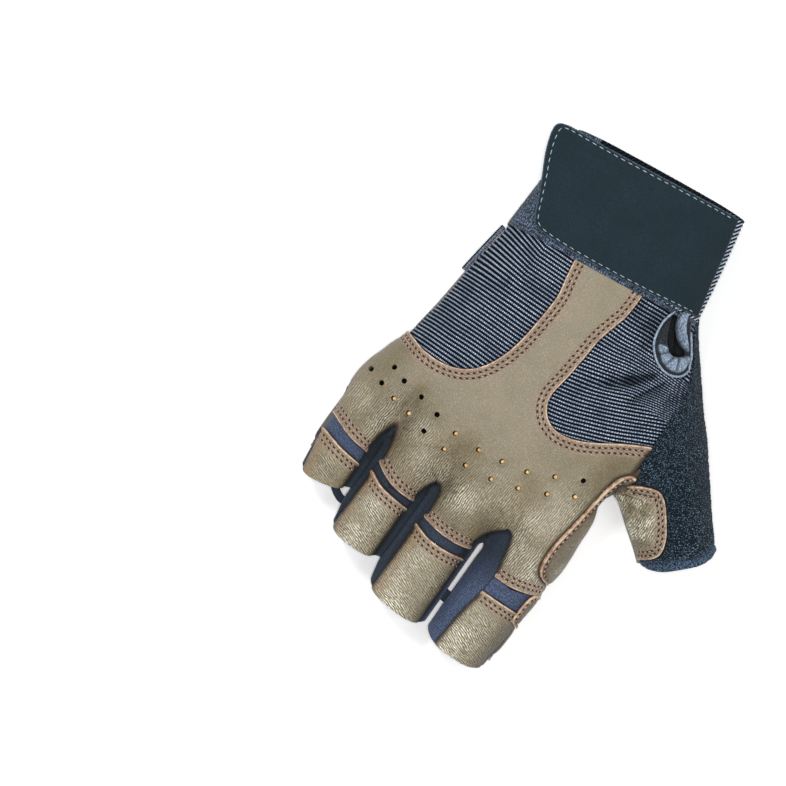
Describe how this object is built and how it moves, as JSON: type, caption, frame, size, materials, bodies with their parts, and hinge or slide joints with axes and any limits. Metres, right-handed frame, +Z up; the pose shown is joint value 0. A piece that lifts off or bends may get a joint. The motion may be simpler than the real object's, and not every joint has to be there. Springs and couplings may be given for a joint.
{
  "type": "half-finger fitness glove, right hand",
  "caption": "Open-fingered leather and stretch-cloth training glove for the right hand, lying palm down, hollow from wrist to fingertips, with a wrist strap.",
  "frame": {"origin": "centre of the glove's outline seen from above, on the surface that the palm lies on", "axes": "+Y from the fingertips to the wrist, +X to the thumb side, +Z up through the back of the hand"},
  "size_m": [0.1512, 0.2002, 0.0376],
  "materials": {
    "back_leather": "soft grained khaki leather with fine creases",
    "palm_leather": "soft khaki leather, quilted and padded",
    "suede_palm": "dark slate synthetic suede, matt, with small air holes",
    "rib_cloth": "dark ribbed stretch cloth",
    "stretch_cloth": "navy knitted stretch cloth",
    "terry_cloth": "dark speckled looped towelling",
    "cuff_twill": "stretch cloth with diagonal ribs",
    "cuff_knit": "plain dark stretch knit",
    "strap_loop": "black brushed loop fastening cloth",
    "vent_binding": "puckered padded binding with a slight sheen"
  },
  "bodies": {
    "root": {"back_panel": "back_leather", "rib_panel_outer": "rib_cloth", "rib_panel_inner": "rib_cloth", "vent_binding": "vent_binding", "strip_little": "stretch_cloth", "cap_little": "back_leather", "strip_ring": "stretch_cloth", "cap_ring": "back_leather", "strip_middle": "stretch_cloth", "cap_middle": "back_leather", "strip_index": "stretch_cloth", "cap_index": "back_leather", "thumb_back": "terry_cloth", "thumb_patch": "palm_leather", "web_guard": "palm_leather", "palm_panel": "suede_palm", "thenar_pad": "palm_leather", "heel_pad": "palm_leather", "knuckle_pad": "palm_leather", "finger_base_leather": "palm_leather", "patch_index": "palm_leather", "patch_middle": "palm_leather", "patch_ring": "palm_leather", "sleeve_little": "stretch_cloth", "sleeve_ring": "stretch_cloth", "sleeve_middle": "stretch_cloth", "sleeve_index": "stretch_cloth", "index_side_patch": "palm_leather", "cuff_knit": "cuff_knit", "cuff_twill": "cuff_twill", "wrist_strap": "strap_loop", "pull_tab": "palm_leather", "side_tab": "stretch_cloth", "pull_loop_index": "stretch_cloth", "pull_loop_little": "stretch_cloth"}
  },
  "joints": []
}
